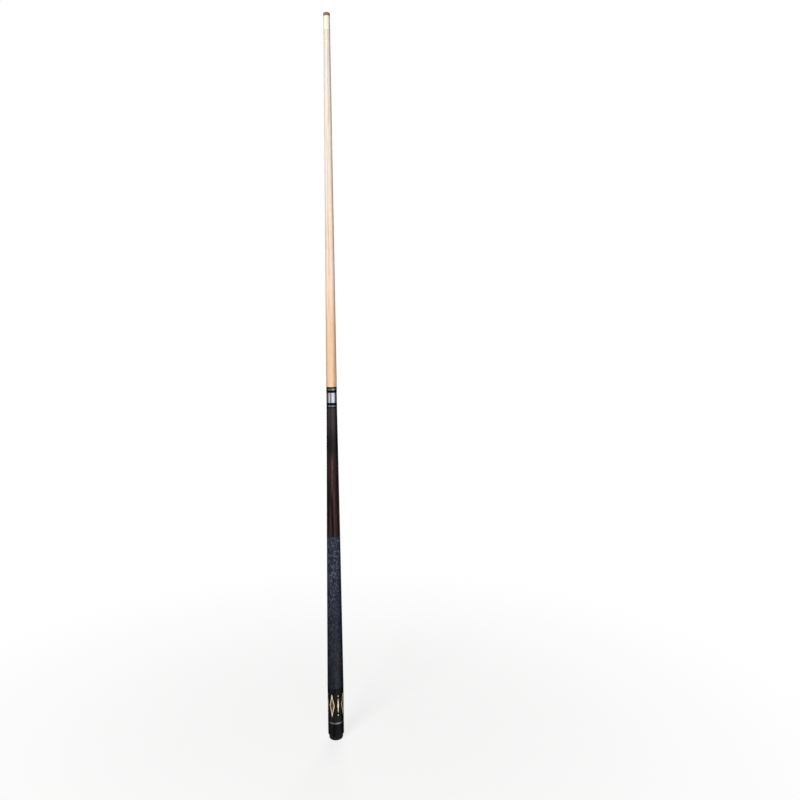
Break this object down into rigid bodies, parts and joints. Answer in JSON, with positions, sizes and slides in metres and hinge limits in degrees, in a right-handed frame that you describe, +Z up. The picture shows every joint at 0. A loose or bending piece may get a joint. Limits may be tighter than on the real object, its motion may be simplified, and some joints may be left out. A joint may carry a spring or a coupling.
{
  "type": "pool cue",
  "caption": "Pool cue that unscrews at a steel joint, with a tapered maple shaft, a dark hardwood forearm, a linen wrap and an inlaid butt on a rubber bumper.",
  "frame": {"origin": "on the cue's axis, on the floor under the bumper", "axes": "+Z up along the cue's axis from the bumper to the tip; the picture looks along +Y, with +X to its right"},
  "size_m": [0.0338, 0.0338, 1.4732],
  "materials": {
    "tip_leather": "pressed leather, buffed dome",
    "fibre_pad": "vulcanised fibre",
    "ferrule_plastic": "polished",
    "shaft_maple": "satin sealer over turned hard maple",
    "black_phenolic": "polished",
    "ring_silver": "turned and polished",
    "insert_brass": "turned",
    "pin_steel": "threaded",
    "collar_stainless": "polished",
    "forearm_rosewood": "gloss clear coat",
    "handle_maple": "bare turned wood",
    "wrap_linen": "speckled thread, pressed",
    "sleeve_black": "gloss clear coat",
    "inlay_gold": "polished under clear coat",
    "panel_wood": "gloss clear coat",
    "cap_black": "polished",
    "bolt_steel": "black oxide",
    "bumper_rubber": "moulded"
  },
  "bodies": {
    "butt": {"joint_pin": "pin_steel", "joint_collar": "collar_stainless", "collar_ring_upper": "black_phenolic", "collar_silver_ring": "ring_silver", "collar_ring_lower": "black_phenolic", "forearm": "forearm_rosewood", "handle_stud": "pin_steel", "handle": "handle_maple", "wrap": "wrap_linen", "butt_sleeve": "sleeve_black", "cap_ring": "ring_silver", "butt_cap": "cap_black", "weight_bolt": "bolt_steel", "window_frame_1": "inlay_gold", "window_frame_2": "inlay_gold", "window_frame_3": "inlay_gold", "window_frame_4": "inlay_gold", "spindle_1": "inlay_gold", "spindle_2": "inlay_gold", "spindle_3": "inlay_gold", "spindle_4": "inlay_gold", "inlay_dot_1": "inlay_gold", "inlay_dot_2": "inlay_gold", "inlay_dot_3": "inlay_gold", "inlay_dot_4": "inlay_gold", "inlay_dot_5": "inlay_gold", "inlay_dot_6": "inlay_gold", "inlay_dot_7": "inlay_gold", "inlay_dot_8": "inlay_gold", "window_panel_1": "panel_wood", "window_panel_2": "panel_wood", "window_panel_3": "panel_wood", "window_panel_4": "panel_wood"},
    "insert": {"shaft_insert": "insert_brass"},
    "shaft": {"tip": "tip_leather", "tip_pad": "fibre_pad", "ferrule": "ferrule_plastic", "shaft": "shaft_maple", "shaft_trim_ring": "black_phenolic", "shaft_silver_ring": "ring_silver", "shaft_collar": "black_phenolic"},
    "bumper": {"bumper": "bumper_rubber"}
  },
  "joints": [
    {"name": "shaft_draw", "type": "slide", "parent": "butt", "child": "insert", "axis": [0, 0, 1], "range_m": [0, 0.0254]},
    {"name": "shaft_turn", "type": "hinge", "parent": "insert", "child": "shaft", "pos_m": [0, 0, 0.7366], "axis": [0, 0, 1], "range_deg": [0, 5040]},
    {"name": "bumper_pull", "type": "slide", "parent": "butt", "child": "bumper", "axis": [0, 0, -1], "range_m": [0, 0.025]}
  ],
  "couplings": [
    {"joint": "shaft_turn", "follows": "shaft_draw", "rad_per_m": 3463.2}
  ]
}
